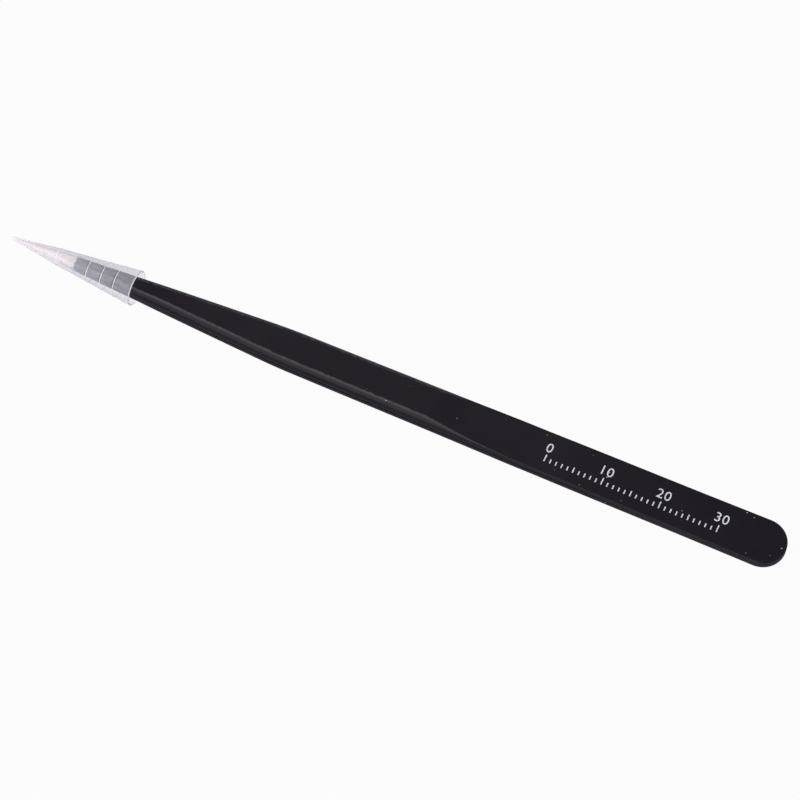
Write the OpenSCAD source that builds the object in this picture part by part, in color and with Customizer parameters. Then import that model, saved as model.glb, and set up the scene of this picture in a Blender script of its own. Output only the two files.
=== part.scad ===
// Straight fine-point anti-static tweezers with a conical tip guard.
// Two sprung steel arms are welded flat to flat at the rounded tail, skinned with a dark
// dissipative coating up to the bare needle points, and held shut by a pushed-on plastic cone.
// X runs along the arms (needle points at -X, tail at +X), Z is up through the stack of arms.

/* [Overall size] */
// Length of each steel arm from needle point to rounded tail
arm_length = 140; // [118:1:160]
// Width across the coated arms at the tail
tail_width = 8; // [6:0.1:10]
// Width across the coated arms where the long taper begins
taper_width = 6.8; // [5.6:0.1:8]
// Distance from the needle point to the start of the long taper
taper_length = 50.7; // [46:0.1:56]
// Narrowing of each side of the long taper per unit of length
taper_slope = 0.0587; // [0.054:0.0005:0.062]

/* [Arm section] */
// Steel thickness of one arm at the springy tail
tail_stock = 0.72; // [0.6:0.01:1]
// Steel thickness of one arm in the stiff front part
front_stock = 1.61; // [1.3:0.01:1.8]
// Height of the upright side below the ground bevel, coating included
land_height = 0.84; // [0.7:0.01:0.9]
// Slant of the ground bevel, measured up from the flat
bevel_angle = 48; // [44:1:56]
// Distance from the needle point to the shoulder where the bevel starts to fade
shoulder_length = 78.4; // [66:0.1:84]
// Length over which the bevel and the extra thickness fade away behind the shoulder
fade_length = 20.5; // [16:0.5:30]

/* [Bow and weld] */
// Open space between the coated arms at mid length when the points touch
bow_gap = 0.38; // [0.2:0.02:0.8]
// Length over which the arms curve apart at each end
bow_ramp = 28; // [20:1:30]
// Length of the flat welded seat at the tail
weld_length = 12; // [10:0.5:14]
// Diameter of one weld nugget
weld_diameter = 2.6; // [1.8:0.1:3.2]
// Depth that a weld nugget reaches into each arm
weld_depth = 0.25; // [0.15:0.05:0.35]
// Running clearance around a weld nugget
weld_clearance = 0.03; // [0.02:0.01:0.06]

/* [Needle points] */
// Length of bare steel at the point, where the coating stops
bare_length = 11.8; // [10.5:0.1:13]
// Radius of the round needle formed by both closed points
point_radius = 0.1; // [0.06:0.01:0.16]
// Growth of the needle radius per unit of length
needle_slope = 0.1045; // [0.1:0.0005:0.11]
// Length of the touching gripping faces at the very point
pinch_length = 3; // [2:0.5:5]

/* [Coating] */
// Thickness of the dissipative coating
coating = 0.08; // [0.05:0.01:0.12]

/* [Tip guard] */
// Length of the tip guard
guard_length = 23.8; // [20:0.1:26]
// Distance that the guard reaches past the needle points
guard_overhang = 0.5; // [0.3:0.1:1.5]
// Clearance between the guard bore and the closed arms
guard_fit = 0.06; // [0.04:0.01:0.12]
// Extra bore radius at the open mouth, so that it slides on easily
mouth_flare = 0.66; // [0.4:0.01:0.9]
// Wall thickness of the guard body
guard_wall = 0.45; // [0.35:0.01:0.6]
// Wall thickness at the thin nose of the guard
nose_wall = 0.2; // [0.15:0.01:0.3]
// Height of the moulded rings above the guard surface
ring_height = 0.07; // [0.03:0.01:0.12]
// Width of one moulded ring
ring_width = 0.5; // [0.3:0.05:0.8]
// Size of the broken edges around the open mouth
rim_break = 0.15; // [0.05:0.01:0.2]

/* [Hidden] */
$fn = 96;
half_tail = tail_width / 2;
half_taper = taper_width / 2;
cone_at_bare = point_radius + needle_slope * bare_length;
half_bare = 0.875 * cone_at_bare;
knee = bare_length + 10.2;
half_knee = half_taper - taper_slope * (taper_length - knee);
land_at_bare = 0.42 * cone_at_bare;
thick_at_bare = 0.87 * cone_at_bare;
thin_start = bare_length + 16;
total_length = arm_length + guard_overhang;
tip_x = -total_length / 2 + guard_overhang;
tail_x = tip_x + arm_length;
weld_front = arm_length - weld_length;
rear_slope = (half_tail - half_taper) / (arm_length - half_tail - taper_length);
taper_blend = 3;
fade_end = shoulder_length + fade_length;
fade_run = 4;
fade_clear = 0.3;
phi = 90 - bevel_angle;
full_coat = 2 * coating;

function smooth(u) = u <= 0 ? 0 : u >= 1 ? 1 : u * u * (3 - 2 * u);
function mix(a, b, u) = a + (b - a) * min(1, max(0, u));

// Half of the open space between the coated arms at distance d from the point
function gap_at(d) = bow_gap / 2 * smooth((d - bare_length) / bow_ramp)
    * smooth((weld_front - d) / bow_ramp);

// Thickness of one coated arm
function front_thick(d) = mix(thick_at_bare, front_stock + full_coat,
    (d - bare_length) / (thin_start - bare_length));
function fade_at(d) = pow(1 - min(1, max(0, (d - shoulder_length) / fade_length)), 2);
function thick_at(d) = d < shoulder_length ? front_thick(d)
    : tail_stock + full_coat + (front_stock - tail_stock) * fade_at(d);

// Height of the upright side
function land_at(d) = mix(land_at_bare, land_height, (d - bare_length) / (thin_start - bare_length));

// Half width of the coated plan outline, two straight runs joined by a parabola
function bend(x) = half_taper + (taper_slope + rear_slope) / 2 * x
    - (taper_slope - rear_slope) / (4 * taper_blend) * (x * x + taper_blend * taper_blend);
function half_at(d) = d < knee ? mix(half_bare, half_knee, (d - bare_length) / (knee - bare_length))
    : d < taper_length - taper_blend ? half_taper + taper_slope * (d - taper_length)
    : d > taper_length + taper_blend ? half_taper + rear_slope * (d - taper_length)
    : bend(d - taper_length);

// Distance of the bevel plane from the arm axis, measured square to the bevel. The plane leaves
// the arm where the bevel has faded, so that the springy rear keeps plain upright sides
function bevel_at(d) = half_at(d) * cos(phi) + (gap_at(d) + land_at(d)) * sin(phi)
    + fade_clear * min(1, max(0, 1 + (d - fade_end) / fade_run));

// Stations along the coated part, closer together where a profile curves
rear_start = weld_front - bow_ramp;
knee_stations = [for (i = [0:3]) bare_length + i * (knee - bare_length) / 4];
near_stations = [for (i = [0:8]) knee + i * (taper_length - taper_blend - knee) / 8];
bend_stations = [for (i = [1:8]) taper_length - taper_blend + i * taper_blend / 4];
fade_stations = [for (i = [0:11]) shoulder_length + i * fade_length / 12];
ramp_start = max(fade_end, rear_start);
ramp_stations = [for (i = [0:9]) ramp_start + i * (weld_front - ramp_start) / 9];
stations = concat(knee_stations, near_stations, bend_stations, fade_stations, ramp_stations);
tail_end = arm_length + 1;

// Half size of the blank at the very point, where the round needle is cut from it
point_half = 0.42 * cone_at_bare;

// Plan outline seen from above, shrunk by the given inset, with its full-radius tail
module plan_solid(inset) {
    flat_end = arm_length - half_tail;
    side = [for (d = stations) if (d < flat_end) [d, half_at(d) - inset]];
    front = inset > 0 ? [[-1, point_half - 0.05], [0, point_half]] : [];
    edge = concat(front, side, [[flat_end, half_tail - inset]]);
    back = [for (i = [len(edge) - 1:-1:0]) [edge[i][0], -edge[i][1]]];
    translate([0, 0, -1])
        linear_extrude(height = 5)
            polygon(concat(edge, back));
    translate([flat_end, 0, -1])
        cylinder(r = half_tail - inset, h = 5);
}

// Side profile of one coated arm from the coating edge to the tail
module coated_side() {
    top = [for (d = stations) [d, gap_at(d) + thick_at(d)]];
    under = [for (i = [len(stations) - 1:-1:0]) [stations[i], gap_at(stations[i])]];
    tail = [[tail_end, tail_stock + full_coat], [tail_end, 0]];
    rotate([90, 0, 0])
        linear_extrude(height = 2 * tail_width, center = true)
            polygon(concat(top, tail, under));
}

// Side profile of one steel arm, from the needle point to the tail
module steel_side() {
    top = [for (d = stations) [d, gap_at(d) + thick_at(d) - coating]];
    under = [for (i = [len(stations) - 1:-1:0]) [stations[i], gap_at(stations[i]) + coating]];
    front = [[pinch_length, 0], [-1, 0], [-1, point_half - 0.05], [0, point_half]];
    tail = [[tail_end, tail_stock + coating], [tail_end, 0], [weld_front, 0]];
    rotate([90, 0, 0])
        linear_extrude(height = 2 * tail_width, center = true)
            polygon(concat(front, top, tail, under));
}

// Everything on the inner side of the ground bevel of the +Y edge
module bevel_side(inset) {
    upper = [for (d = stations) [d, bevel_at(d) - inset]];
    front = [[-1, upper[0][1] - 0.35], [0, upper[0][1] - 0.3]];
    last = [[tail_end, bevel_at(arm_length) - inset], [tail_end, -15], [-1, -15]];
    rotate([phi, 0, 0])
        linear_extrude(height = 40, center = true)
            polygon(concat(front, upper, last));
}

// One arm with its coating, from the coating edge to the tail
module coated_shape() {
    intersection() {
        plan_solid(0);
        coated_side();
        bevel_side(0);
        mirror([0, 1, 0])
            bevel_side(0);
    }
}

// Round needle that both closed points share, opening out past the coating edge
module needle_cone() {
    reach = arm_length + 10;
    rotate([0, 90, 0])
        cylinder(r1 = point_radius, r2 = point_radius + needle_slope * reach, h = reach);
}

// One bare steel arm
module steel_shape() {
    difference() {
        intersection() {
            plan_solid(coating);
            steel_side();
            bevel_side(coating);
            mirror([0, 1, 0])
                bevel_side(coating);
            needle_cone();
        }
        nuggets(weld_clearance);
    }
}

// Pair of weld nuggets on the seat between the arms
module nuggets(grow) {
    for (i = [0:1])
        translate([arm_length - weld_length * (0.32 + 0.4 * i), 0, 0])
            cylinder(r = weld_diameter / 2 + grow, h = 2 * (weld_depth + grow / 3), center = true);
}

module coating_shape() {
    difference() {
        coated_shape();
        steel_shape();
        nuggets(weld_clearance);
    }
}

module place() {
    translate([tip_x, 0, mid_z])
        children();
}

module upper_arm() {
    color([0.74, 0.73, 0.72])
        place()
            steel_shape();
}

module lower_arm() {
    color([0.74, 0.73, 0.72])
        place()
            mirror([0, 0, 1])
                steel_shape();
}

module upper_coating() {
    color([0.12, 0.11, 0.13])
        place()
            coating_shape();
}

module lower_coating() {
    color([0.12, 0.11, 0.13])
        place()
            mirror([0, 0, 1])
                coating_shape();
}

module weld_spots() {
    color([0.6, 0.6, 0.62])
        place()
            nuggets(0);
}

// Bore and outside of the guard at distance u from its small end
guard_bare = bare_length + guard_overhang;
mouth_station = guard_length - guard_overhang;
mouth_rise = gap_at(mouth_station) + thick_at(mouth_station);
mouth_corner = norm([half_at(mouth_station), gap_at(mouth_station) + land_at(mouth_station)]);
mouth_bore = max(mouth_rise, mouth_corner) + guard_fit + mouth_flare;
bare_bore = cone_at_bare + guard_fit;
rear_part = guard_length - guard_bare;
front_rings = [0.236 * guard_bare, 0.724 * guard_bare];
rear_rings = [for (share = [0.243, 0.487, 0.713]) guard_bare + share * rear_part];
function bore_at(u) = u < guard_bare
    ? point_radius + needle_slope * max(0, u - guard_overhang) + guard_fit
    : mix(bare_bore, mouth_bore, (u - guard_bare) / rear_part);
function wall_at(u) = mix(nose_wall, guard_wall,
    (u - front_rings[0]) / (front_rings[1] - front_rings[0]));
function skin_at(u) = bore_at(u) + wall_at(u);
guard_radius = skin_at(guard_length - rim_break);
mid_z = guard_radius;

// Outline of one moulded ring, as a low flat-topped bead
function ring_points(u) = [
    [skin_at(u - ring_width / 2), u - ring_width / 2],
    [skin_at(u) + ring_height, u - ring_width / 5],
    [skin_at(u) + ring_height, u + ring_width / 5],
    [skin_at(u + ring_width / 2), u + ring_width / 2]
];

module guard_profile() {
    front_outside = [for (u = front_rings) each ring_points(u)];
    rear_outside = [for (u = rear_rings) each ring_points(u)];
    mouth = [
        [skin_at(guard_length - rim_break), guard_length - rim_break],
        [skin_at(guard_length) - rim_break, guard_length],
        [bore_at(guard_length) + rim_break / 2, guard_length],
        [bore_at(guard_length - rim_break), guard_length - rim_break]
    ];
    inside = [for (u = [guard_bare, guard_overhang, 0]) [bore_at(u), u]];
    bend = [[skin_at(guard_bare), guard_bare]];
    polygon(concat([[skin_at(0), 0]], front_outside, bend, rear_outside, mouth, inside));
}

module tip_guard() {
    color([0.9, 0.9, 0.92, 0.6])
        translate([-total_length / 2, 0, mid_z])
            rotate([0, 90, 0])
                rotate_extrude()
                    guard_profile();
}

upper_arm();
lower_arm();
upper_coating();
lower_coating();
weld_spots();
tip_guard();
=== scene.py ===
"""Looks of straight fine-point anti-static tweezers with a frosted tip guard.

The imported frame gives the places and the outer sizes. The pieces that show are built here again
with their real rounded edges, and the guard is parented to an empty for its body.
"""

import math

import bmesh
import bpy
import numpy as np
from bpy.props import FloatProperty, IntProperty, PointerProperty, StringProperty
from mathutils import Matrix, Vector


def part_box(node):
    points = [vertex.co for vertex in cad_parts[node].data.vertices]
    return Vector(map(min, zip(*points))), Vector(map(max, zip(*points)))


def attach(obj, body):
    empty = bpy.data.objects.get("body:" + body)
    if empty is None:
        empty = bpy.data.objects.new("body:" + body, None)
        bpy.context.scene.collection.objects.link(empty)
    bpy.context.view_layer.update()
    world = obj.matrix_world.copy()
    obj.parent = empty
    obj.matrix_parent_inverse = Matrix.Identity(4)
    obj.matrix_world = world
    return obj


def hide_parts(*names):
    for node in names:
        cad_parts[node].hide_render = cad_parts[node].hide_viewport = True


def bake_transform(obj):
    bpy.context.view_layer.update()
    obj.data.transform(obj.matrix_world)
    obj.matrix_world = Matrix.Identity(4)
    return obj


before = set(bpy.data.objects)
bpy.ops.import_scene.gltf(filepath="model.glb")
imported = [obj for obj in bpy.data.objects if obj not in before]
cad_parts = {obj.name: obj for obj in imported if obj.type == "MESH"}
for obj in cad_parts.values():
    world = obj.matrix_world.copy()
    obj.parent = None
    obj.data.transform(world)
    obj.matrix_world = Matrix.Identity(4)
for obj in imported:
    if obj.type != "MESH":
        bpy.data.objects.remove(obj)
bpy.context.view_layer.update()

bl_info = {
    "name": "Anti-static tweezers",
    "version": (1, 0, 0),
    "blender": (4, 5, 0),
    "location": "3D View > Sidebar > Tweezers",
    "description": "Builds fine-point tweezers with a tip guard around their packed frame",
    "category": "Add Mesh",
}

MM = 0.001

# Places read from the frame, in metres
POINT_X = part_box("upper_arm")[0].x
COAT_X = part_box("upper_coating")[0].x
TAIL_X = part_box("upper_coating")[1].x
TAIL_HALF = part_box("upper_coating")[1].y
GUARD_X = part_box("tip_guard")[0].x
MOUTH_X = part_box("tip_guard")[1].x
GUARD_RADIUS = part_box("tip_guard")[1].y
MID_Z = (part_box("weld_spots")[0].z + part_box("weld_spots")[1].z) / 2

# Sides of the camera's picture in pixels and of its sensor in millimetres, and the nearest and
# furthest that it sees in metres
PICTURE_SIDE = 800
SENSOR_MM = 36.0
NEAREST, FURTHEST = 0.01, 100

# Points this close are one, edges this short are none, and this is next to nothing
SAME_POINT = 1e-7
SHORTEST_EDGE = 1e-8
TINY = 1e-9


def length_property(name, value_mm, description):
    """A length setting whose default is given in millimetres."""
    return FloatProperty(name=name, description=description, default=value_mm * MM, unit="LENGTH",
                         subtype="DISTANCE", precision=5)


def angle_property(name, degrees, description):
    """An angle setting whose default is given in degrees."""
    return FloatProperty(name=name, description=description, default=math.radians(degrees),
                         unit="ROTATION", subtype="ANGLE")


def slope_property(name, slope, description):
    """A slope setting, as growth per length."""
    return FloatProperty(name=name, description=description, default=slope, precision=4)


def colour_property(name, hex_colour, description):
    """A colour setting, as an sRGB hex value."""
    return StringProperty(name=name, description=description, default=hex_colour)


class TweezerArmSizes(bpy.types.PropertyGroup):
    """Sizes of the two sprung arms, coating included where nothing else is said."""

    taper_width: length_property("Taper width", 6.8, "Width where the long taper begins")
    taper_length: length_property("Taper length", 50.7, "Needle point to the start of the taper")
    taper_slope: slope_property("Taper slope", 0.0587, "Narrowing of each side per length")
    shoulder: length_property("Shoulder", 78.4, "Needle point to the shoulder of the bevel")
    fade: length_property("Fade", 20.5, "Length over which the bevel fades behind the shoulder")
    front_thickness: length_property("Front thickness", 1.77, "Thickness of the stiff front part")
    tail_thickness: length_property("Tail thickness", 0.88, "Thickness of the springy rear")
    land: length_property("Land", 0.84, "Height of the upright side below the bevel")
    bevel_angle: angle_property("Bevel angle", 48, "Slant of the ground bevel")
    bow_gap: length_property("Bow gap", 0.38, "Space between the arms at mid length")
    bow_ramp: length_property("Bow ramp", 28, "Length over which the arms curve apart")
    seat: length_property("Seat", 12, "Length of the welded seat at the tail")
    flex: length_property("Flex", 50, "Tail end to where the arm stops bending")
    crest: length_property("Crest", 0.1, "Easing of the bevel's upper edge on the flat top")
    crown: length_property("Crown", 0.5, "Easing of the bevel's upper edge on the bevel")
    foot: length_property("Foot", 0.42, "Easing of the bevel's lower edge")
    edge: length_property("Edge", 0.09, "Easing of the inner edges")
    least_bevel: length_property("Least bevel", 0.1, "Eased edge left where the bevel has faded")
    coating: length_property("Coating", 0.08, "Thickness of the coating")
    point_radius: length_property("Point radius", 0.1, "Radius of the closed needle point")
    needle_slope: slope_property("Needle slope", 0.1045, "Growth of the needle's radius")
    pinch: length_property("Pinch", 3, "Length of the touching faces at the very point")


class TweezerGuardSizes(bpy.types.PropertyGroup):
    """Sizes of the tip guard."""

    fit: length_property("Fit", 0.06, "Clearance between the bore and the needle")
    wall: length_property("Wall", 0.45, "Wall thickness of the body")
    nose_wall: length_property("Nose wall", 0.2, "Wall thickness of the nose")
    ring_height: length_property("Ring height", 0.07, "Height of a moulded ring")
    ring_width: length_property("Ring width", 0.2, "Width of a moulded ring at its foot")
    rim: length_property("Rim", 0.15, "Rounding of the open mouth")
    segments: IntProperty(name="Segments", description="Steps round the cone", default=128, min=24)


class TweezerScaleSizes(bpy.types.PropertyGroup):
    """Sizes of the plain printed scale on the upper arm."""

    tail_offset: length_property("Tail offset", 11.3, "Tail end to the last tick")
    step: length_property("Step", 1, "Distance between two ticks")
    steps: IntProperty(name="Steps", description="Number of steps", default=30, min=10)
    line: length_property("Line", 0.2, "Width of a tick")
    base: length_property("Base", -1.75, "Place of the ticks across the arm")
    tick: length_property("Tick", 0.75, "Length of a short tick")
    digits: length_property("Digits", 1.75, "Height of the numbers")
    digits_base: length_property("Digits base", 0.05, "Place of the numbers across the arm")
    ink: length_property("Ink", 0.02, "Thickness of the ink film")


class TweezerColours(bpy.types.PropertyGroup):
    """Colours of the finishes, floor and backdrop."""

    coating: colour_property("Coating", "#160f1a", "Body colour of the coating")
    # This lighter coating colour also gives the painted highlight along the bevel's crest
    coating_worn: colour_property("Coating, rubbed", "#57545c", "Rubbed and dusty coating")
    dust: colour_property("Dust", "#bdbbc4", "Specks of dust")
    steel: colour_property("Steel", "#ddd4ce", "Bare ground steel")
    steel_lines: colour_property("Steel, lines", "#cdc4be", "Grinding lines in the steel")
    weld_cool: colour_property("Weld, cool", "#7c7f8c", "Bluish heat tint")
    weld_warm: colour_property("Weld, warm", "#a89a86", "Straw heat tint")
    guard: colour_property("Guard", "#eae9f5", "Frosted plastic")
    guard_thick: colour_property("Guard, thick", "#fbfafd", "Frosted plastic where thick")
    ink: colour_property("Ink", "#dcdde8", "Printed marks")
    ink_thin: colour_property("Ink, thin", "#a7a8b8", "Printed marks where the ink is thin")
    floor: colour_property("Floor", "#a4a4ac", "Paper of the floor")
    white: colour_property("White", "#ffffff", "Floor and backdrop as the camera sees them")
    sky: colour_property("Sky", "#fafbff", "Soft light from all round")


class TweezerStageSizes(bpy.types.PropertyGroup):
    """Camera, floor and lights."""

    elevation: angle_property("Elevation", 61.20, "Height of the camera above the horizon")
    turn: angle_property("Turn", 24.91, "Turn of the camera round the upright axis")
    distance: length_property("Distance", 426.4, "Camera to the point that it looks at")
    aim_right: length_property("Aim right", 2.233, "Sideways move of the point looked at")
    aim_up: length_property("Aim up", -1.66, "Upward move of the point looked at")
    focal: FloatProperty(name="Focal length", description="Focal length in picture pixels",
                         default=2584.7)
    floor_radius: length_property("Floor radius", 4000, "Radius of the floor")


GROUPS = {
    "tweezer_arms": TweezerArmSizes,
    "tweezer_guard": TweezerGuardSizes,
    "tweezer_scale": TweezerScaleSizes,
    "tweezer_colours": TweezerColours,
    "tweezer_stage": TweezerStageSizes,
}


# Helpers for shapes


def smooth(u):
    """Smoothstep of u, held to 0..1."""
    u = np.clip(u, 0, 1)
    return u * u * (3 - 2 * u)


def mix(a, b, u):
    """Straight blend from a to b, held at both ends."""
    return a + (b - a) * np.clip(u, 0, 1)


class ArmShape:
    """Profiles of one arm as functions of the distance d from the needle point, in metres.

    The second axis is across the arm and the third is the height above the plane between the arms.
    """

    # Half width, thickness and upright side at the coating's edge, as shares of the needle there
    HALF_SHARE = 0.875
    THICK_SHARE = 0.87
    LAND_SHARE = 0.42
    # From the coating's edge to the knee of the outline, and to the full thickness
    KNEE_REACH = 10.2 * MM
    THICK_REACH = 16 * MM
    # Half of the length over which the outline bends behind the long taper
    TAPER_BLEND = 3 * MM
    # Where the bevel has faded its plane stands off the arm this far, reached over this length
    FADE_CLEAR = 0.3 * MM
    FADE_RUN = 4 * MM
    # Least part of the half width that the bevel leaves flat
    LEAST_TOP = 0.2

    def __init__(self):
        self.sizes = sizes = bpy.context.scene.tweezer_arms
        self.length = TAIL_X - POINT_X
        self.bare = COAT_X - POINT_X
        self.flat_end = self.length - TAIL_HALF
        self.seat_front = self.length - sizes.seat
        self.cone_bare = sizes.point_radius + sizes.needle_slope * self.bare
        self.half_bare = self.HALF_SHARE * self.cone_bare
        self.knee = self.bare + self.KNEE_REACH
        self.thin_start = self.bare + self.THICK_REACH
        self.slant = math.pi / 2 - sizes.bevel_angle
        self.rear_slope = ((TAIL_HALF - sizes.taper_width / 2)
                           / (self.flat_end - sizes.taper_length))

    def eased(self, profile, d, reach=0.6 * MM, samples=9):
        """A profile averaged over a short reach, as grinding and coating ease its kinks."""
        steps = np.linspace(-reach, reach, samples)
        return np.mean([profile(np.asarray(d) + step) for step in steps], axis=0)

    def gap(self, d):
        """Half of the open space between the arms."""
        ramp = self.sizes.bow_ramp
        return (self.sizes.bow_gap / 2 * smooth((d - self.bare) / ramp)
                * smooth((self.seat_front - d) / ramp))

    def thickness(self, d):
        """Thickness of one arm, which thins behind the shoulder."""
        sizes = self.sizes
        start = self.THICK_SHARE * self.cone_bare
        front = mix(start, sizes.front_thickness, (d - self.bare) / (self.thin_start - self.bare))
        left = (1 - np.clip((d - sizes.shoulder) / sizes.fade, 0, 1)) ** 2
        rear = sizes.tail_thickness + (sizes.front_thickness - sizes.tail_thickness) * left
        return np.where(d < sizes.shoulder, front, rear)

    def land(self, d):
        """Height of the upright side below the bevel."""
        start = self.LAND_SHARE * self.cone_bare
        return mix(start, self.sizes.land, (d - self.bare) / (self.thin_start - self.bare))

    def half(self, d):
        """Half width, before the round tail."""
        sizes = self.sizes
        blend = self.TAPER_BLEND
        x = d - sizes.taper_length
        half_taper = sizes.taper_width / 2
        half_knee = half_taper - sizes.taper_slope * (sizes.taper_length - self.knee)
        needle = mix(self.half_bare, half_knee, (d - self.bare) / (self.knee - self.bare))
        bend = (half_taper + (sizes.taper_slope + self.rear_slope) / 2 * x
                - (sizes.taper_slope - self.rear_slope) / (4 * blend) * (x * x + blend * blend))
        slope = np.where(x < 0, sizes.taper_slope, self.rear_slope)
        straight = half_taper + slope * x
        return np.where(d < self.knee, needle, np.where(np.abs(x) < blend, bend, straight))

    def bevel(self, d):
        """Distance of the bevel plane from the arm's axis, measured square to the bevel."""
        leaving = np.clip(1 + (d - self.sizes.shoulder - self.sizes.fade) / self.FADE_RUN, 0, 1)
        return (self.half(d) * math.cos(self.slant)
                + (self.gap(d) + self.land(d)) * math.sin(self.slant) + self.FADE_CLEAR * leaving)

    def side_corners(self, half, top, bevel, least):
        """Height of the side and half width of the top where the bevel cuts them."""
        height = (bevel - half * math.cos(self.slant)) / math.sin(self.slant)
        width = (bevel - top * math.sin(self.slant)) / math.cos(self.slant)
        return min(height, top - least), max(min(width, half - least), self.LEAST_TOP * half)


# Points of one easing, the most of a side that it takes, and how far off its support point lies
EASING_STEPS = 6
EASING_SHARE = 0.42
SUPPORT_SHARE = 0.05


def eased_path(corners, reaches):
    """An open path through the corners, each inner one eased by a parabola between two close
    support points, so that shading stays flat beside it. The reaches are pairs: how far the
    parabola goes back and on from its corner."""
    path = [corners[0]]
    for before, here, after, (back, on) in zip(corners, corners[1:], corners[2:], reaches):
        into, out = before - here, after - here
        start = here + into * min(back / np.linalg.norm(into), EASING_SHARE)
        end = here + out * min(on / np.linalg.norm(out), EASING_SHARE)
        path.append(start + into * SUPPORT_SHARE)
        for t in np.linspace(0, 1, EASING_STEPS):
            path.append(start * (1 - t) ** 2 + here * 2 * t * (1 - t) + end * t * t)
        path.append(end + out * SUPPORT_SHARE)
    path.append(corners[-1])
    return np.array(path)


def coat_profile(shape, d):
    """Edge of the coated arm at distance d: pairs of inset from the outline and height."""
    sizes = shape.sizes
    gap = float(shape.eased(shape.gap, d))
    half = float(shape.eased(shape.half, d))
    top = gap + float(shape.eased(shape.thickness, d))
    bevel = float(shape.eased(shape.bevel, d))
    side_top, top_half = shape.side_corners(half, top, bevel, sizes.least_bevel)
    run = half - top_half
    # Flat strips that the path keeps on the underside and on the top
    under_strip, top_strip = 4 * sizes.edge, 3 * sizes.crest
    corners = np.array([(under_strip, gap), (0, gap), (0, side_top), (run, top),
                        (run + top_strip, top)])
    return eased_path(corners, ((sizes.edge, sizes.edge), (sizes.foot, sizes.foot),
                                (sizes.crown, sizes.crest)))


def crest_wear():
    """How much each point of coat_profile shows rubbing and a painted highlight: most where the
    crest is sharpest.
    """
    # The path's end, two easings with their two supports each, and the crest's first support
    before_crest = 1 + 2 * (EASING_STEPS + 2) + 1
    # It rises late, and falls off over the last support and the path's end
    rise = np.linspace(0, 1, EASING_STEPS) ** 3
    fall = [0.6, 0]
    return np.concatenate([np.zeros(before_crest), rise, fall])


# The coating's rounded front edge: places behind it, and how far the surface is drawn in there
LIP = np.array([(0, 0.055), (0.02, 0.03), (0.05, 0.01), (0.1, 0)]) * MM


def coat_outline(shape, step=0.5 * MM, arc_steps=28):
    """Points of the +Y outline from the coating's edge to the tail, and which way is outward."""
    d = np.concatenate([shape.bare + LIP[:, 0],
                        np.arange(shape.bare + step, shape.flat_end, step)])
    y = shape.eased(shape.half, d)
    slope = np.gradient(y, d)
    outward = np.stack([-slope, np.ones_like(d)], axis=1)
    outward /= np.linalg.norm(outward, axis=1)[:, None]
    outward[:len(LIP)] = (0, 1)
    turn = np.linspace(0, math.pi / 2, arc_steps)
    arc_outward = np.stack([np.sin(turn), np.cos(turn)], axis=1)
    arc = np.array([shape.flat_end, 0]) + arc_outward * TAIL_HALF
    return np.concatenate([np.stack([d, y], axis=1), arc]), np.concatenate([outward, arc_outward])


def strip_faces(lines):
    """Faces between neighbouring lines of vertex numbers."""
    return [(here[k], here[k + 1], after[k + 1], after[k])
            for here, after in zip(lines, lines[1:]) for k in range(len(here) - 1)]


def coat_mesh(shape, columns=6):
    """Vertices (distance, across, height), faces, and rubbing with painted crest highlight, of one
    closed coating shell.
    """
    points, outward = coat_outline(shape)
    rows = len(points)
    edges = []
    for i, (point, out) in enumerate(zip(points, outward)):
        profile = coat_profile(shape, point[0])
        inset, height = profile[:, 0], profile[:, 1]
        if i < len(LIP):
            drawn = LIP[i, 1]
            inset = inset + drawn
            height = np.clip(height, height.min() + drawn, height.max() - drawn)
        flat = point[None, :] - inset[:, None] * out[None, :]
        edges.append(np.column_stack([flat[:, 0], np.maximum(flat[:, 1], 0), height]))
    edges = np.array(edges)
    count = edges.shape[1]
    mirrored = edges * np.array([1, -1, 1])
    vertices = [*edges.reshape(-1, 3), *mirrored.reshape(-1, 3)]
    # Fingers rub the front part, so the rubbing and its painted highlight fade over this length
    # behind the shoulder
    fading = 6 * MM
    front = 1 - smooth((points[:, 0] - shape.sizes.shoulder) / fading)
    wear_and_highlight = np.tile(np.outer(front, crest_wear()).ravel(), 2)
    right_side, left_side = np.arange(2 * rows * count).reshape(2, rows, count)
    faces = strip_faces(right_side) + strip_faces(left_side)
    strips = []
    for k in (0, count - 1):
        strip = []
        for row in range(rows):
            right, left = edges[row, k], mirrored[row, k]
            line = [right_side[row, k]]
            for share in np.arange(1, columns) / columns:
                vertices.append(right * (1 - share) + left * share)
                line.append(len(vertices) - 1)
            strip.append(line + [left_side[row, k]])
        strips.append(strip)
        faces += strip_faces(strip)
    under, over = strips
    faces.append([*under[0], *left_side[0, 1:], *over[0][-2::-1], *right_side[0, -2:0:-1]])
    wear_and_highlight = np.concatenate([wear_and_highlight, np.zeros(len(vertices) - len(wear_and_highlight))])
    return np.array(vertices), faces, wear_and_highlight


# Half size of the blank at the very point as a share of the needle at the coating's edge, and how
# far the bevel plane sinks from there to the point
BLANK_SHARE = 0.42
BEVEL_SINK = 0.3 * MM

# Rounding of the very point: its length, its steps, and its depth as a share of the needle's round
BLUNT_LENGTH = 0.1 * MM
BLUNT_STEPS = np.array([0, 0.15, 0.35, 0.65, 1])
BLUNT_DEPTH = 0.85

# Least edge beside the steel's bevel, and the most of the half width that it takes
STEEL_EDGE = 0.02 * MM
STEEL_EDGE_SHARE = 0.2

# Steps along the underside, side, bevel and top of half a steel section
SECTION_STEPS = (6, 5, 7, 8)


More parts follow.
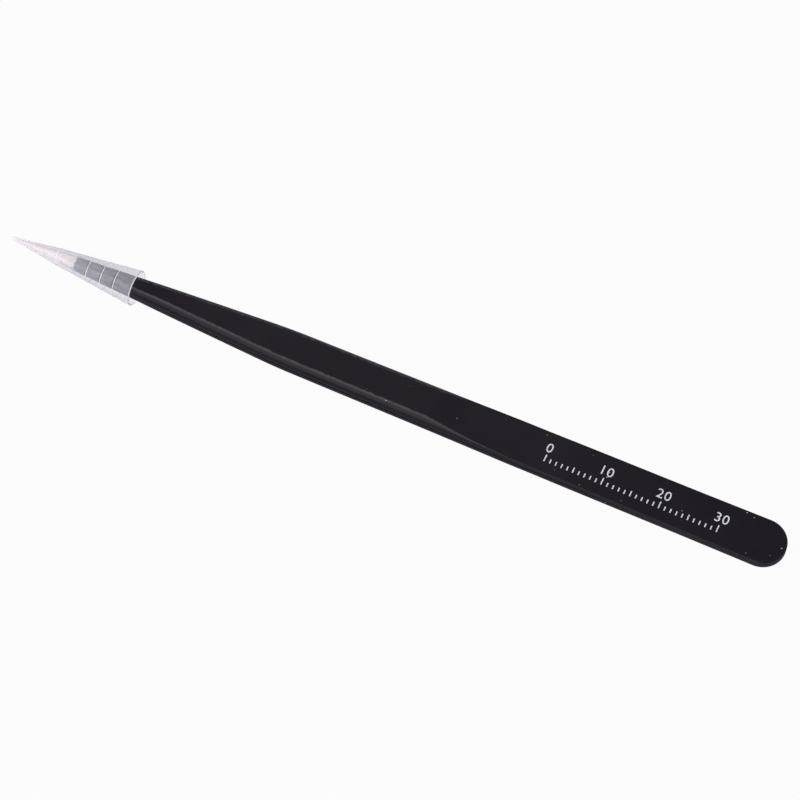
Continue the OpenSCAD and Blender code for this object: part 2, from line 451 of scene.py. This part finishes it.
def steel_section(shape, d):
    """Closed outline (across, height) of one bare steel arm at distance d."""
    sizes = shape.sizes
    coat = sizes.coating
    blank = BLANK_SHARE * shape.cone_bare
    near = min(d / shape.bare, 1.0)
    here = max(d, shape.bare)
    if here < shape.flat_end:
        half_full = float(shape.eased(shape.half, here)) - coat
    else:
        half_full = math.sqrt(max((TAIL_HALF - coat) ** 2 - (here - shape.flat_end) ** 2, TINY))
    gap = float(shape.eased(shape.gap, here))
    top_full = gap + float(shape.eased(shape.thickness, here)) - coat
    bevel_full = float(shape.eased(shape.bevel, here)) - coat
    half = blank + (half_full - blank) * near
    top = blank + (top_full - blank) * near
    bevel = bevel_full - BEVEL_SINK * (1 - near)
    opening = float(mix(0, coat, (d - sizes.pinch) / (shape.bare - sizes.pinch)))
    under = gap + opening if d < shape.seat_front else gap
    least = min(STEEL_EDGE, STEEL_EDGE_SHARE * half)
    side_top, top_half = shape.side_corners(half, top, bevel, least)
    corners = ((0, under), (half, under), (half, side_top), (top_half, top), (0, top))
    sides = [np.linspace(start, end, steps, endpoint=False)
             for start, end, steps in zip(corners, corners[1:], SECTION_STEPS)]
    right = np.concatenate([*sides, corners[-1:]])
    loop = np.concatenate([right, (right * [-1, 1])[-2:0:-1]])
    blunt = math.sqrt(1 - BLUNT_DEPTH * (1 - min(d / BLUNT_LENGTH, 1.0)) ** 2)
    cone = (sizes.point_radius + sizes.needle_slope * d) * blunt
    reach = np.linalg.norm(loop, axis=1)
    flat = np.abs(loop[:, 1] - under) < TINY
    widest = math.sqrt(max(cone * cone - under * under, 0))
    pulled = loop * np.minimum(1, cone / np.maximum(reach, TINY))[:, None]
    pulled[:, 1] = np.maximum(pulled[:, 1], under)
    cut = np.column_stack([np.clip(loop[:, 0], -widest, widest), loop[:, 1]])
    return np.where(flat[:, None], cut, pulled)


def loop_faces(rows, count, round_again=False):
    """Faces between rows of closed loops, and with round_again back to the first row."""
    numbers = np.arange(rows * count).reshape(rows, count)
    if round_again:
        numbers = np.vstack([numbers, numbers[:1]])
    return strip_faces(np.column_stack([numbers, numbers[:, 0]]))


def steel_mesh(shape, needle_step=0.35 * MM, step=1.0 * MM, arc_steps=16):
    """Vertices (distance, across, height) and faces of one steel arm, needle point to tail."""
    blunt = BLUNT_STEPS * BLUNT_LENGTH
    needle = np.arange(needle_step, shape.bare, needle_step)
    rest = np.arange(shape.bare, shape.flat_end, step)
    # The last section stops just short of a quarter turn, where it would have no width
    turn = np.linspace(0, 0.497 * math.pi, arc_steps)
    arc = shape.flat_end + (TAIL_HALF - shape.sizes.coating) * np.sin(turn)
    distances = np.concatenate([blunt, needle, rest, arc])
    sections = [steel_section(shape, d) for d in distances]
    rows, count = len(sections), len(sections[0])
    vertices = np.column_stack([np.repeat(distances, count), np.concatenate(sections)])
    ends = [list(range(count)), list(range(rows * count - 1, (rows - 1) * count - 1, -1))]
    return vertices, loop_faces(rows, count) + ends


def in_frame(vertices, lower):
    """Vertices (distance, across, height) as places in the frame, mirrored for the lower arm."""
    placed = np.array(vertices, float)
    placed[:, 0] += POINT_X
    placed[:, 2] = MID_Z + placed[:, 2] * (-1 if lower else 1)
    return placed


# The core of the mould is polished, so the guard's inside has none of the frost of its outside
POLISHED = -1.0

# Places of the rings, as shares of the nose over the bare needle and of the body behind it
NOSE_RINGS = (0.236, 0.724)
BODY_RINGS = (0.243, 0.487, 0.713)

# Extra plastic, where a ring's own is 1: at the nose's last ring, at the end of the bare needle and
# at this share of the body
CLOUDY = (0.3, 0.16, 0)
CLOUDY_END = 0.7

# Each ring has a more see-through band just in front of it, painted shade that lets the dark arm
# show for the dark line that the ring's step makes by refraction: what that takes off, and its
# place in widths
CLEARER_SHADE = 0.3
CLEARER_SHADE_PLACE = -1.1

# Share of the rim's rounding over which it turns white, and share that the inner rounding takes
RIM_TURN = 0.4
INNER_RIM = 0.8

# Step along the cone, how finely a ring and its clearer band are stepped, from and to in widths,
# and the first turn of the rim's rounding
CONE_STEP = 0.5 * MM
RING_STEPS = np.linspace(-1.7, 0.6, 24)
FIRST_TURN = 0.15

# Steps of the rim's outer and inner rounding, and how many rims before the end one more step lies
RIM_STEPS = (6, 5)
RIM_SUPPORT = 2.5

# The smooth bore takes each third step, up to this far from the rim, and the small end's inner and
# outer edges are broken by this much
BORE_STRIDE = 3
BORE_END = 0.2 * MM
SMALL_END = (0.02 * MM, 0.05 * MM)


def guard_profile(sizes, shape):
    """Closed outline of the guard's wall: distance from the small end, radius, and added plastic,
    less in the painted shade bands.
    """
    arm = shape.sizes
    length = MOUTH_X - GUARD_X
    overhang = POINT_X - GUARD_X
    bare = shape.bare + overhang
    nose_rings = [share * bare for share in NOSE_RINGS]
    rings = nose_rings + [bare + share * (length - bare) for share in BODY_RINGS]
    rim = sizes.rim

    def bore(u):
        """Inner radius."""
        front = arm.point_radius + arm.needle_slope * np.maximum(0, u - overhang) + sizes.fit
        rear = mix(shape.cone_bare + sizes.fit, GUARD_RADIUS - sizes.wall,
                   (u - bare) / (length - bare))
        return np.where(u < bare, front, rear)

    def ring(u, moved=0.0):
        """How much of a ring is at u, from 0 to 1, with the rings moved along."""
        return sum(smooth(1 - np.abs(u - place - moved) / (sizes.ring_width / 2))
                   for place in rings)

    def skin(u):
        """Outer radius."""
        wall = mix(sizes.nose_wall, sizes.wall,
                   (u - nose_rings[0]) / (nose_rings[1] - nose_rings[0]))
        return bore(u) + wall + sizes.ring_height * ring(u)

    def extra(u):
        """Added plastic of the outside, less in a painted shade band in front of each ring."""
        edge = smooth((u - length + rim) / (RIM_TURN * rim))
        cloudy_places = [nose_rings[1], bare, bare + CLOUDY_END * (length - bare)]
        cloudy = np.interp(u, cloudy_places, CLOUDY)
        # Painted shade: a more see-through band in front of each ring
        clearer_shade = CLEARER_SHADE * ring(u, CLEARER_SHADE_PLACE * sizes.ring_width)
        return float(np.maximum(ring(u), edge) + cloudy - clearer_shade)

    near_rings = [place + RING_STEPS * sizes.ring_width for place in rings]
    stations = np.unique(np.concatenate([
        np.arange(0.1 * CONE_STEP, length - rim, CONE_STEP), *near_rings,
        [length - RIM_SUPPORT * rim, length - rim]]))
    outside = [(u, float(skin(u))) for u in stations]
    mouth_skin = float(skin(length - rim))
    wall = mouth_skin - float(bore(length - rim))
    lip = [(length - rim + rim * math.sin(turn), mouth_skin - rim * (1 - math.cos(turn)))
           for turn in np.linspace(FIRST_TURN, math.pi / 2, RIM_STEPS[0])]
    inner_rim = min(rim, wall - rim) * INNER_RIM
    inner_lip = [(length - inner_rim * (1 - math.cos(turn)),
                  float(bore(length)) + inner_rim * (1 - math.sin(turn)))
                 for turn in np.linspace(0, math.pi / 2, RIM_STEPS[1])]
    inside = [(u, float(bore(u))) for u in stations[::-BORE_STRIDE] if u < length - rim - BORE_END]
    nose = [(0.0, float(bore(0)) + SMALL_END[0]), (0.0, float(skin(0)) - SMALL_END[1])]
    return ([(u, radius, extra(u)) for u, radius in outside + lip]
            + [(u, radius, POLISHED) for u, radius in inner_lip + inside + nose])


def guard_mesh(sizes, shape):
    """Vertices in the frame, faces, and the added plastic with its painted shade bands, of the
    guard.
    """
    profile = guard_profile(sizes, shape)
    turns = np.linspace(0, 2 * math.pi, sizes.segments, endpoint=False)
    vertices = [(GUARD_X + u, radius * math.cos(turn), MID_Z + radius * math.sin(turn))
                for turn in turns for u, radius, plastic in profile]
    faces = loop_faces(sizes.segments, len(profile), round_again=True)
    return vertices, faces, [plastic for u, radius, plastic in profile] * sizes.segments


# Ticks at the tens and fives against the rest, the corners cut off a tick as a share of its width,
# the height of the built-in font's digits at size 1, and the space between them
TEN_TICK = 1.7
FIVE_TICK = 1.35
TICK_CUT = 0.2
DIGIT_HEIGHT = 0.73
DIGIT_SPACE = 1.1


def add_stroke(marks, x0, x1, y0, y1):
    """Adds one flat tick with cut corners."""
    cut = TICK_CUT * (x1 - x0)
    outline = [(x0 + cut, y0), (x1 - cut, y0), (x1, y0 + cut), (x1, y1 - cut), (x1 - cut, y1),
               (x0 + cut, y1), (x0, y1 - cut), (x0, y0 + cut)]
    marks.faces.new([marks.verts.new((x, y, 0)) for x, y in outline])


def add_number(marks, text, middle, base, height):
    """Adds a flat number, centred on middle, from the outlines of the built-in font."""
    curve = bpy.data.curves.new("number_outline", "FONT")
    curve.body = text
    curve.align_x = "CENTER"
    curve.size = height / DIGIT_HEIGHT
    curve.resolution_u = 6
    curve.space_character = DIGIT_SPACE
    source = bpy.data.objects.new("number_outline", curve)
    flat = bpy.data.meshes.new_from_object(source)
    flat.transform(Matrix.Translation((middle, base, 0)))
    marks.from_mesh(flat)
    bpy.data.objects.remove(source)
    bpy.data.curves.remove(curve)
    bpy.data.meshes.remove(flat)


def raise_ink(marks, shape, ink):
    """Lays flat marks on the top face of the upper arm and gives them thickness."""
    made = bmesh.ops.extrude_face_region(marks, geom=marks.faces[:])
    raised = {item for item in made["geom"] if isinstance(item, bmesh.types.BMVert)}
    for corner in marks.verts:
        d = corner.co.x - POINT_X
        top = float(shape.eased(shape.gap, d) + shape.eased(shape.thickness, d))
        corner.co.z = MID_Z + top + (ink if corner in raised else -ink / 2)
    bmesh.ops.recalc_face_normals(marks, faces=marks.faces)


# Helpers for pieces in the frame


def add_piece(name, mesh, material):
    """Puts a mesh with its material into the scene."""
    mesh.materials.append(material)
    piece = bpy.data.objects.new(name, mesh)
    bpy.context.scene.collection.objects.link(piece)
    return piece


def make_piece(name, vertices, faces, material, sharp=math.radians(40), values=None):
    """A mesh object in the frame, welded, with outward faces and sharp edges over an angle.

    values holds one number per vertex for each attribute that its material reads.
    """
    mesh = bpy.data.meshes.new(name)
    mesh.from_pydata([tuple(v) for v in vertices], [], [tuple(int(k) for k in f) for f in faces])
    for attribute, numbers in (values or {}).items():
        stored = mesh.attributes.new(attribute, "FLOAT", "POINT")
        stored.data.foreach_set("value", np.asarray(numbers, np.float32))
    work = bmesh.new()
    work.from_mesh(mesh)
    bmesh.ops.remove_doubles(work, verts=work.verts, dist=SAME_POINT)
    bmesh.ops.dissolve_degenerate(work, edges=work.edges, dist=SHORTEST_EDGE)
    bmesh.ops.recalc_face_normals(work, faces=work.faces)
    for face in work.faces:
        face.smooth = True
    work.to_mesh(mesh)
    work.free()
    mesh.set_sharp_from_angle(angle=sharp)
    return add_piece(name, mesh, material)


def bend_with(piece):
    """Bakes the placement of a piece on an arm into its mesh."""
    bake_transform(piece)


# Helpers for materials


def linear(hex_colour):
    """An sRGB hex colour such as #1b181d as linear RGBA."""
    parts = [int(hex_colour[i:i + 2], 16) / 255 for i in (1, 3, 5)]
    return (*[c / 12.92 if c <= 0.04045 else ((c + 0.055) / 1.055) ** 2.4 for c in parts], 1.0)


def add_node(tree, kind, inputs=None, **settings):
    """Adds a node with its settings, and sets or links the inputs named in the dict. A node given
    as an input is linked by its first output."""
    node = tree.nodes.new(kind)
    for name, value in settings.items():
        setattr(node, name, value)
    for key, value in (inputs or {}).items():
        if isinstance(value, bpy.types.Node):
            value = value.outputs[0]
        if isinstance(value, bpy.types.NodeSocket):
            tree.links.new(value, node.inputs[key])
        else:
            node.inputs[key].default_value = value
    return node


def make_material(name, surface):
    """A node material. The function surface gets its tree, the place on the object and the colour
    settings, and returns the last shader."""
    material = bpy.data.materials.get(name) or bpy.data.materials.new(name)
    material.use_nodes = True
    tree = material.node_tree
    tree.nodes.clear()
    place = add_node(tree, "ShaderNodeTexCoord").outputs["Object"]
    shader = surface(tree, place, bpy.context.scene.tweezer_colours)
    add_node(tree, "ShaderNodeOutputMaterial", {"Surface": shader})
    return material


# Most of a noise pattern's values lie between these two
MID_NOISE = {"From Min": 0.3, "From Max": 0.7}


def dissipative_epoxy_coating(tree, place, colours):
    """Black static-dissipative epoxy, sprayed and baked on steel: near-black with a hint of violet,
    a satin sheen that lights up on the bevels, faint clouds, fine dust, and edges lightened by
    rubbing and by a painted highlight along the crest."""
    # Clouds of slightly different film thickness, about 9 mm across
    clouds = add_node(tree, "ShaderNodeTexNoise", {
        "Vector": place, "Scale": 1 / (9 * MM), "Detail": 3.0, "Roughness": 0.55})
    shade = add_node(tree, "ShaderNodeMapRange", {
        "Value": clouds, **MID_NOISE, "To Min": 0.0, "To Max": 0.04})
    # Edges abraded through the top of the film, in patches of about 0.7 mm, lighter along the crest
    # also as a painted highlight
    patches = add_node(tree, "ShaderNodeTexNoise", {
        "Vector": place, "Scale": 1 / (0.7 * MM), "Detail": 3.0, "Roughness": 0.6})
    patchy = add_node(tree, "ShaderNodeMapRange", {
        "Value": patches, "From Min": 0.38, "From Max": 0.68, "To Min": 0.1, "To Max": 1.0})
    crest = add_node(tree, "ShaderNodeAttribute", attribute_name="rubbed_and_highlit")
    rubbed_and_highlit = add_node(tree, "ShaderNodeMath", {0: crest.outputs["Fac"], 1: patchy},
                      operation="MULTIPLY")
    worn_and_highlit = add_node(tree, "ShaderNodeMath", {0: shade, 1: rubbed_and_highlit}, operation="ADD", use_clamp=True)
    # The lighter colour goes on film clouds, abraded patches and the painted crest highlight
    body = add_node(tree, "ShaderNodeMix", {"Factor": worn_and_highlit, "A": linear(colours.coating),
        "B": linear(colours.coating_worn)}, data_type="RGBA")
    # Dust specks of 0.15 to 0.25 mm, in one of five cells of 1.2 mm
    dust = add_node(tree, "ShaderNodeTexVoronoi", {"Vector": place, "Scale": 1 / (1.2 * MM)})
    picked = add_node(tree, "ShaderNodeSeparateColor", {"Color": dust.outputs["Color"]})
    rare = add_node(tree, "ShaderNodeMath", {0: picked, 1: 0.8}, operation="GREATER_THAN")
    near = add_node(tree, "ShaderNodeMapRange", {
        "Value": dust.outputs["Distance"], "From Min": 0.06, "From Max": 0.1, "To Min": 1.0,
        "To Max": 0.0})
    speck = add_node(tree, "ShaderNodeMath", {0: rare, 1: near}, operation="MULTIPLY")
    faint = add_node(tree, "ShaderNodeMath", {0: speck, 1: picked.outputs[1]}, operation="MULTIPLY")
    dusty = add_node(tree, "ShaderNodeMix", {
        "Factor": faint, "A": body.outputs["Result"], "B": linear(colours.dust)},
        data_type="RGBA")
    # Satin: the film's own fine orange peel, drawn at 0.35 mm so that it shows
    peel = add_node(tree, "ShaderNodeTexNoise", {
        "Vector": place, "Scale": 1 / (0.35 * MM), "Detail": 2.0, "Roughness": 0.5})
    bump = add_node(tree, "ShaderNodeBump", {
        "Height": peel, "Strength": 0.15, "Distance": 0.02 * MM})
    gloss = add_node(tree, "ShaderNodeMapRange", {
        "Value": clouds, **MID_NOISE, "To Min": 0.32, "To Max": 0.42})
    return add_node(tree, "ShaderNodeBsdfPrincipled", {
        "Base Color": dusty.outputs["Result"], "Roughness": gloss, "IOR": 1.5,
        "Specular IOR Level": 0.24, "Normal": bump})


def ground_stainless_steel(tree, place, colours):
    """Stainless steel ground to a point: warm silver with fine lines that run along the arm."""
    # Grit lines of 0.03 mm, drawn 0.09 mm wide and 4 mm long
    along, across = 4 * MM, 0.09 * MM
    drawn_out = add_node(tree, "ShaderNodeMapping", {
        "Vector": place, "Scale": (1 / along, 1 / across, 1 / across)})
    lines = add_node(tree, "ShaderNodeTexNoise", {"Vector": drawn_out, "Scale": 1.0, "Detail": 2.0})
    tint = add_node(tree, "ShaderNodeMix", {"Factor": lines, "A": linear(colours.steel_lines),
        "B": linear(colours.steel)}, data_type="RGBA")
    gloss = add_node(tree, "ShaderNodeMapRange", {"Value": lines, "To Min": 0.74, "To Max": 0.86})
    bump = add_node(tree, "ShaderNodeBump", {
        "Height": lines, "Strength": 0.25, "Distance": 0.01 * MM})
    return add_node(tree, "ShaderNodeBsdfPrincipled", {
        "Base Color": tint.outputs["Result"], "Roughness": gloss, "Metallic": 1.0,
        "Normal": bump})


def welded_steel(tree, place, colours):
    """Resistance-welded steel: grey cast metal with a straw to blue heat tint."""
    # Frozen melt ripples about 0.6 mm across
    ripples = add_node(tree, "ShaderNodeTexNoise", {
        "Vector": place, "Scale": 1 / (0.6 * MM), "Detail": 3.0})
    tint = add_node(tree, "ShaderNodeValToRGB", {"Fac": ripples})
    stops = ((0.35, colours.weld_cool), (0.65, colours.weld_warm))
    for stop, (position, colour) in zip(tint.color_ramp.elements, stops):
        stop.position = position
        stop.color = linear(colour)
    bump = add_node(tree, "ShaderNodeBump", {
        "Height": ripples, "Strength": 0.4, "Distance": 0.03 * MM})
    return add_node(tree, "ShaderNodeBsdfPrincipled", {
        "Base Color": tint, "Roughness": 0.45, "Metallic": 1.0,
        "Normal": bump})


def moulded_polypropylene(tree, place, colours):
    """Natural polypropylene, moulded thin: milky and see-through, so that what is inside shows
    soft and grey, whiter at the rings and the rim, more see-through as painted shade just in front
    of each ring, with a waxy gloss."""
    # Flow clouds along the cone, about 0.6 mm across and 1.8 mm long
    along, across = 1.8 * MM, 0.6 * MM
    flow = add_node(tree, "ShaderNodeMapping", {
        "Vector": place, "Scale": (1 / along, 1 / across, 1 / across)})
    clouds = add_node(tree, "ShaderNodeTexNoise", {
        "Vector": flow, "Scale": 1.0, "Detail": 4.0, "Roughness": 0.6})
    milk = add_node(tree, "ShaderNodeMapRange", {
        "Value": clouds, **MID_NOISE, "To Min": 0.31, "To Max": 0.5})
    # Extra plastic of the rings and the rim, stored on the mesh, and less plastic as painted shade
    # in front of each ring
    thick = add_node(tree, "ShaderNodeAttribute", attribute_name="extra_plastic_and_shade")
    cover = add_node(tree, "ShaderNodeMath", {
        0: thick.outputs["Fac"], 1: 0.72, 2: milk}, operation="MULTIPLY_ADD",
        use_clamp=True)
    gloss = add_node(tree, "ShaderNodeMapRange", {
        "Value": clouds, **MID_NOISE, "To Min": 0.38, "To Max": 0.48})
    tint = add_node(tree, "ShaderNodeMix", {
        "Factor": thick.outputs["Fac"], "A": linear(colours.guard),
        "B": linear(colours.guard_thick)}, data_type="RGBA")
    skin = add_node(tree, "ShaderNodeBsdfPrincipled", {
        "Base Color": tint.outputs["Result"], "Roughness": gloss, "IOR": 1.49,
        "Specular IOR Level": 0.2})
    # The milky wall passes light on, its thick places less
    through = add_node(tree, "ShaderNodeBsdfTranslucent", {"Color": linear(colours.guard)})
    passed = add_node(tree, "ShaderNodeMapRange", {
        "Value": thick.outputs["Fac"], "To Min": 0.42, "To Max": 0.12})
    milky = add_node(tree, "ShaderNodeMixShader", {0: passed, 1: skin, 2: through})
    clear = add_node(tree, "ShaderNodeBsdfTransparent")
    return add_node(tree, "ShaderNodeMixShader", {0: cover, 1: clear, 2: milky})


def pad_printed_ink(tree, place, colours):
    """White pad-printing ink on the coating: matt, a little blue, thin in places."""
    # Thin places in the film about 0.25 mm across
    thin = add_node(tree, "ShaderNodeTexNoise", {
        "Vector": place, "Scale": 1 / (0.25 * MM), "Detail": 2.0})
    cover = add_node(tree, "ShaderNodeMapRange", {
        "Value": thin, "From Min": 0.3, "From Max": 0.5, "To Min": 0.0, "To Max": 1.0})
    shade = add_node(tree, "ShaderNodeMix", {
        "Factor": cover, "A": linear(colours.ink_thin), "B": linear(colours.ink)},
        data_type="RGBA")
    return add_node(tree, "ShaderNodeBsdfPrincipled", {
        "Base Color": shade.outputs["Result"], "Roughness": 0.6, "IOR": 1.5})


# How white the floor looks to the camera: the rest is lit paper, which holds the shadow
FLOOR_WHITE = 0.96


def seen_directly(tree):
    """1 for a ray from the camera, straight or through the guard, and 0 for light and mirrors."""
    rays = add_node(tree, "ShaderNodeLightPath")
    return add_node(tree, "ShaderNodeMath", {
        0: rays.outputs["Is Camera Ray"], 1: rays.outputs["Is Transmission Ray"]},
        operation="MAXIMUM")


def white_floor(tree, place, colours):
    """Matt white paper floor: shows its own white to the camera and keeps a faint soft shadow."""
    # Paper tooth of about 0.5 mm
    tooth = add_node(tree, "ShaderNodeTexNoise", {"Vector": place, "Scale": 1 / (0.5 * MM)})
    bump = add_node(tree, "ShaderNodeBump", {
        "Height": tooth, "Strength": 0.05, "Distance": 0.02 * MM})
    paper = add_node(tree, "ShaderNodeBsdfDiffuse", {
        "Color": linear(colours.floor), "Normal": bump})
    white = add_node(tree, "ShaderNodeEmission", {"Color": linear(colours.white), "Strength": 1.0})
    share = add_node(tree, "ShaderNodeMath", {0: seen_directly(tree), 1: FLOOR_WHITE},
                     operation="MULTIPLY")
    return add_node(tree, "ShaderNodeMixShader", {0: share, 1: paper, 2: white})


# Helpers for the stage

# Corners of the round floor, and its distance below the object, which clears the opened lower arm
FLOOR_CORNERS = 96
FLOOR_DROP = 1.4 * MM


def resting_plane(shape):
    """Place of the floor: level with the guard's mouth and the tail, as a table would be."""
    tail = Vector((TAIL_X - TAIL_HALF, 0, MID_Z - shape.sizes.tail_thickness))
    mouth = Vector((MOUTH_X, 0, MID_Z - GUARD_RADIUS))
    slope = math.atan2(tail.z - mouth.z, tail.x - mouth.x)
    return (Matrix.Translation(mouth - Vector((0, 0, FLOOR_DROP)))
            @ Matrix.Rotation(-slope, 4, "Y") @ Matrix.Translation((-mouth.x, 0, 0)))


# Strength of the soft light from all round
SKY_STRENGTH = 0.18

# Soft lights: name, direction from the object, distance, (width, height) in metres, and watts
LIGHTS = (
    ("front_softbox", (-0.22, -0.68, 0.66), 0.9, (0.9, 0.62), 6.8),
    ("left_softbox", (-0.9, -0.1, 0.45), 1.0, (0.6, 0.6), 4.6),
    ("right_softbox", (0.9, 0.25, 0.5), 1.0, (0.6, 0.6), 3.0),
    ("back_softbox", (-0.21, 0.43, 0.87), 0.94, (0.3, 0.5), 0.25),
)


def add_camera(scene, sizes):
    """Adds the camera at the picture's angle, without shift."""
    toward = Vector((math.cos(sizes.elevation) * math.sin(sizes.turn),
                     -math.cos(sizes.elevation) * math.cos(sizes.turn), math.sin(sizes.elevation)))
    right = Vector((math.cos(sizes.turn), math.sin(sizes.turn), 0))
    up = toward.cross(right)
    aim = Vector((0, 0, MID_Z)) + right * sizes.aim_right + up * sizes.aim_up
    lens = bpy.data.cameras.new("camera")
    lens.sensor_width = SENSOR_MM
    lens.lens = sizes.focal / PICTURE_SIDE * SENSOR_MM
    lens.clip_start, lens.clip_end = NEAREST, FURTHEST
    camera = bpy.data.objects.new("camera", lens)
    camera.matrix_world = (Matrix.Translation(aim + toward * sizes.distance)
                           @ Matrix((right, up, toward)).transposed().to_4x4())
    scene.collection.objects.link(camera)
    scene.camera = camera


def add_backdrop(scene):
    """A world that looks white and lights softly."""
    world = bpy.data.worlds.new("white_backdrop")
    world.use_nodes = True
    tree = world.node_tree
    tree.nodes.clear()
    colours = scene.tweezer_colours
    white = add_node(tree, "ShaderNodeBackground", {
        "Color": linear(colours.white), "Strength": 1.0})
    soft = add_node(tree, "ShaderNodeBackground", {
        "Color": linear(colours.sky), "Strength": SKY_STRENGTH})
    whole = add_node(tree, "ShaderNodeMixShader", {0: seen_directly(tree), 1: soft, 2: white})
    add_node(tree, "ShaderNodeOutputWorld", {"Surface": whole})
    scene.world = world


def add_light(name, direction, distance, size, power):
    """Adds one soft rectangular light that points at the object."""
    lamp = bpy.data.lights.new(name, "AREA")
    lamp.shape = "RECTANGLE"
    lamp.size, lamp.size_y = size
    lamp.energy = power
    light = bpy.data.objects.new(name, lamp)
    place = Vector(direction).normalized() * distance
    facing = place.to_track_quat("Z", "Y").to_matrix().to_4x4()
    light.matrix_world = Matrix.Translation(place) @ facing
    bpy.context.scene.collection.objects.link(light)


# Operators, one for each kind of piece


class TWEEZER_OT_coating(bpy.types.Operator):
    """Builds the coating shells of both arms"""

    bl_idname = "tweezer.coating"
    bl_label = "Coating"

    def execute(self, context):
        vertices, faces, wear_and_highlight = coat_mesh(ArmShape())
        material = make_material("Dissipative_epoxy_coating", dissipative_epoxy_coating)
        for side in ("upper", "lower"):
            # Each shell stores how much its crest shows rubbing, a painted highlight included
            piece = make_piece(f"{side}_coating_shell", in_frame(vertices, side == "lower"), faces,
                               material, values={"rubbed_and_highlit": wear_and_highlight})
            bend_with(piece)
            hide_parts(f"{side}_coating")
        return {"FINISHED"}


class TWEEZER_OT_steel(bpy.types.Operator):
    """Builds both steel arms with their needle points"""

    bl_idname = "tweezer.steel"
    bl_label = "Steel arms"

    def execute(self, context):
        vertices, faces = steel_mesh(ArmShape())
        material = make_material("Ground_stainless_steel", ground_stainless_steel)
        for side in ("upper", "lower"):
            piece = make_piece(f"{side}_steel_arm", in_frame(vertices, side == "lower"), faces,
                               material, sharp=math.radians(35))
            bend_with(piece)
            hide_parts(f"{side}_arm")
        return {"FINISHED"}


class TWEEZER_OT_weld(bpy.types.Operator):
    """Gives the weld nuggets between the arms their finish"""

    bl_idname = "tweezer.weld"
    bl_label = "Weld"

    def execute(self, context):
        material = make_material("Welded_steel", welded_steel)
        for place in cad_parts["weld_spots"].material_slots:
            place.material = material
        return {"FINISHED"}


class TWEEZER_OT_guard(bpy.types.Operator):
    """Builds the moulded tip guard"""

    bl_idname = "tweezer.guard"
    bl_label = "Tip guard"

    def execute(self, context):
        # The plastic share of each vertex also holds the painted shade in front of the rings
        vertices, faces, plastic = guard_mesh(context.scene.tweezer_guard, ArmShape())
        material = make_material("Moulded_polypropylene", moulded_polypropylene)
        piece = make_piece("tip_guard_shell", vertices, faces, material,
                           values={"extra_plastic_and_shade": plastic})
        # Milky plastic scatters light onward, so what is inside is lit nearly as if it were bare
        piece.visible_shadow = False
        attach(piece, "guard")
        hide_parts("tip_guard")
        return {"FINISHED"}


class TWEEZER_OT_scale(bpy.types.Operator):
    """Prints a plain millimetre scale on the upper arm"""

    bl_idname = "tweezer.scale"
    bl_label = "Printed scale"

    def execute(self, context):
        sizes = context.scene.tweezer_scale
        marks = bmesh.new()
        end_x = TAIL_X - sizes.tail_offset
        start_x = end_x - sizes.steps * sizes.step
        for i in range(sizes.steps + 1):
            rise = sizes.tick * (TEN_TICK if i % 10 == 0 else FIVE_TICK if i % 5 == 0 else 1)
            middle = start_x + i * sizes.step
            add_stroke(marks, middle - sizes.line / 2, middle + sizes.line / 2, sizes.base,
                       sizes.base + rise)
            if i % 10 == 0:
                add_number(marks, str(i), middle, sizes.digits_base, sizes.digits)
        raise_ink(marks, ArmShape(), sizes.ink)
        mesh = bpy.data.meshes.new("printed_scale")
        marks.to_mesh(mesh)
        marks.free()
        material = make_material("Pad_printed_ink", pad_printed_ink)
        bend_with(add_piece("printed_scale", mesh, material))
        return {"FINISHED"}


class TWEEZER_OT_stage(bpy.types.Operator):
    """Sets the camera, floor, backdrop and soft lights"""

    bl_idname = "tweezer.stage"
    bl_label = "Stage"

    def execute(self, context):
        sizes = context.scene.tweezer_stage
        add_camera(context.scene, sizes)
        turns = np.linspace(0, 2 * math.pi, FLOOR_CORNERS, endpoint=False)
        rim = [(sizes.floor_radius * math.cos(turn), sizes.floor_radius * math.sin(turn), 0)
               for turn in turns]
        material = make_material("White_paper_floor", white_floor)
        floor = make_piece("floor", rim, [list(range(FLOOR_CORNERS))], material)
        floor.matrix_world = resting_plane(ArmShape())
        add_backdrop(context.scene)
        for light in LIGHTS:
            add_light(*light)
        context.scene.view_settings.view_transform = "Standard"
        return {"FINISHED"}


class TWEEZER_PT_sidebar(bpy.types.Panel):
    """Sizes, colours and buttons of the tweezers"""

    bl_idname = "TWEEZER_PT_sidebar"
    bl_label = "Tweezers"
    bl_space_type = "VIEW_3D"
    bl_region_type = "UI"
    bl_category = "Tweezers"

    def draw(self, context):
        for name, group in GROUPS.items():
            box = self.layout.box()
            box.label(text=name.split("_")[1].capitalize())
            for setting in group.__annotations__:
                box.prop(getattr(context.scene, name), setting)
        for operator in OPERATORS:
            self.layout.operator(operator.bl_idname)


OPERATORS = (TWEEZER_OT_stage, TWEEZER_OT_coating, TWEEZER_OT_steel, TWEEZER_OT_weld,
             TWEEZER_OT_guard, TWEEZER_OT_scale)


def register():
    """Registers the classes and puts the settings on the scene."""
    for group in (*GROUPS.values(), *OPERATORS, TWEEZER_PT_sidebar):
        bpy.utils.register_class(group)
    for name, group in GROUPS.items():
        setattr(bpy.types.Scene, name, PointerProperty(type=group))


def unregister():
    """Takes the settings and the classes away again."""
    for name in GROUPS:
        delattr(bpy.types.Scene, name)
    for group in reversed((*GROUPS.values(), *OPERATORS, TWEEZER_PT_sidebar)):
        bpy.utils.unregister_class(group)


def main():
    """Builds the stage and every piece."""
    register()
    for operator in OPERATORS:
        getattr(bpy.ops.tweezer, operator.bl_idname.split(".")[1])()


if __name__ == "__main__":
    main()
